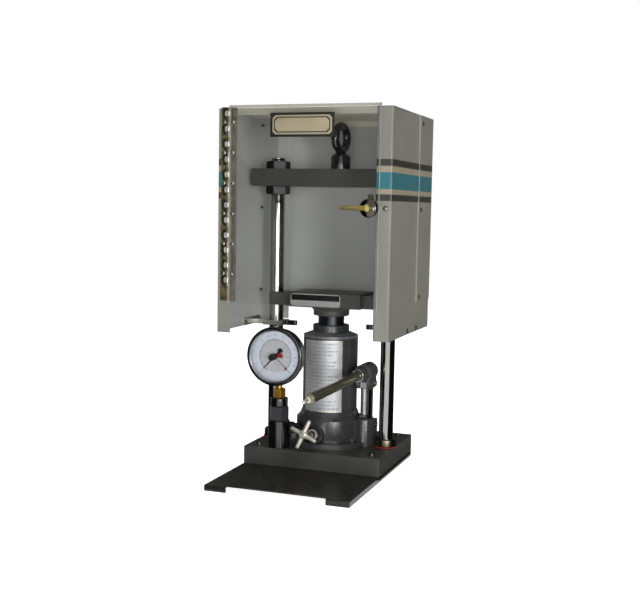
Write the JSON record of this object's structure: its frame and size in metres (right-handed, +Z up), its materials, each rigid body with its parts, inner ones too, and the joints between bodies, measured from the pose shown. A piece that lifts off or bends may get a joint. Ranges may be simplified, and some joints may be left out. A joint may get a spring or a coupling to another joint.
{
  "type": "laboratory press",
  "caption": "Two-column hydraulic laboratory press with hand pump, pressure gauge, sheet-metal guard and clear hinged door.",
  "frame": {"origin": "on the ram's axis at the level of the bench, where the bench plate's flanges stand", "axes": "+Z up along the ram, -Y to the front where the door and the gauge face, +X to the right-hand side"},
  "size_m": [0.3882, 0.5365, 0.7855],
  "materials": {
    "black_paint": "semi-gloss",
    "grey_paint": "semi-gloss",
    "jack_paint": "semi-gloss",
    "guard_paint": "satin",
    "handle_paint": "gloss",
    "plated_steel": "zinc plated",
    "bare_steel": "ground",
    "ram_steel": "ground and hardened",
    "hinge_steel": "satin",
    "black_steel": "black oxide",
    "chromed_steel": "ground and plated",
    "cast_handle": "cast, bare",
    "red_fibre": "matt",
    "seal_rubber": "matt",
    "gauge_brass": "bright",
    "gauge_black": "gloss",
    "gauge_glass": "clear",
    "dial_white": "matt",
    "pointer_black": "matt",
    "set_hand_red": "gloss",
    "clear_plastic": "clear polycarbonate",
    "plate_metal": "satin"
  },
  "bodies": {
    "frame": {"bench_plate": "black_paint", "base_block": "grey_paint", "base_screws": "plated_steel", "columns": "chromed_steel", "column_washers": "red_fibre", "column_collars": "plated_steel", "crosshead": "grey_paint", "crosshead_nuts": "plated_steel", "lifting_eye": "black_steel", "jack_base": "jack_paint", "reservoir_tube": "jack_paint", "pressure_cylinder": "bare_steel", "jack_cap": "jack_paint", "ram_gland": "jack_paint", "hydraulic_seals": "seal_rubber", "filler_plug": "plated_steel", "pump_gland_nut": "black_steel", "check_valves": "bare_steel", "release_bonnet": "black_steel", "fulcrum_link": "black_steel", "link_foot_pin": "plated_steel", "gauge_block": "black_steel", "gauge_snubber": "black_steel", "gauge_coupling": "black_steel", "gauge_adapter": "gauge_brass", "gauge_pipe": "black_steel", "gauge_case": "gauge_black", "gauge_bezel": "gauge_black", "gauge_glass": "gauge_glass", "gauge_dial": "dial_white", "gauge_bourdon_tube": "gauge_brass", "guard_panel_left": "guard_paint", "guard_panel_right": "guard_paint", "guard_top": "guard_paint", "guard_rear_cover": "guard_paint", "guard_screws": "plated_steel", "guard_straps": "plated_steel", "clamp_knobs": "gauge_black", "hinge_fixed_leaf": "hinge_steel", "hinge_pin": "hinge_steel", "hinge_fixed_screws": "plated_steel"},
    "ram_head": {"ram": "ram_steel", "ram_seal": "seal_rubber", "bolster": "grey_paint"},
    "pump_lever": {"lever_socket": "jack_paint", "lever_pin": "plated_steel", "socket_sleeve": "chromed_steel", "pump_handle": "handle_paint"},
    "plunger": {"pump_plunger": "black_steel"},
    "release_valve": {"release_stem": "bare_steel", "release_handle": "cast_handle"},
    "door": {"hinge_moving_leaf": "hinge_steel", "hinge_moving_screws": "plated_steel", "door_sheet": "clear_plastic", "door_nameplate": "plate_metal", "latch_plate": "chromed_steel"},
    "latch": {"latch_lever": "gauge_brass", "latch_pawl": "plated_steel"},
    "gauge_needle": {"gauge_pointer": "pointer_black"},
    "gauge_marker": {"gauge_set_hand": "set_hand_red"}
  },
  "joints": [
    {"name": "ram_slide", "type": "slide", "parent": "frame", "child": "ram_head", "axis": [0, 0, 1], "range_m": [0, 0.13]},
    {"name": "pump_lever_hinge", "type": "hinge", "parent": "frame", "child": "pump_lever", "pos_m": [0.084, 0.025, 0.186], "axis": [-1, 0, 0], "range_deg": [-25, 30]},
    {"name": "plunger_slide", "type": "slide", "parent": "frame", "child": "plunger", "axis": [0, 0, 1], "range_m": [-0.0145, 0.0172]},
    {"name": "release_valve_turn", "type": "hinge", "parent": "frame", "child": "release_valve", "pos_m": [-0.0034, -0.085, 0.0798], "axis": [-0.0886, -0.9734, 0.2113], "range_deg": [0, 180]},
    {"name": "door_hinge", "type": "hinge", "parent": "frame", "child": "door", "pos_m": [-0.165, -0.199, 0.5795], "axis": [0, 0, -1], "range_deg": [0, 145]},
    {"name": "latch_turn", "type": "hinge", "parent": "door", "child": "latch", "pos_m": [0.145, -0.2, 0.5774], "axis": [0, 1, 0], "range_deg": [0, 90]},
    {"name": "gauge_needle_turn", "type": "hinge", "parent": "frame", "child": "gauge_needle", "pos_m": [-0.083, -0.127, 0.2545], "axis": [0, 1, 0], "range_deg": [0, 270]},
    {"name": "gauge_marker_turn", "type": "hinge", "parent": "frame", "child": "gauge_marker", "pos_m": [-0.083, -0.131, 0.2545], "axis": [0, 1, 0], "range_deg": [-270, 0]}
  ],
  "couplings": [
    {"joint": "plunger_slide", "follows": "pump_lever_hinge", "m_per_rad": 0.032}
  ]
}
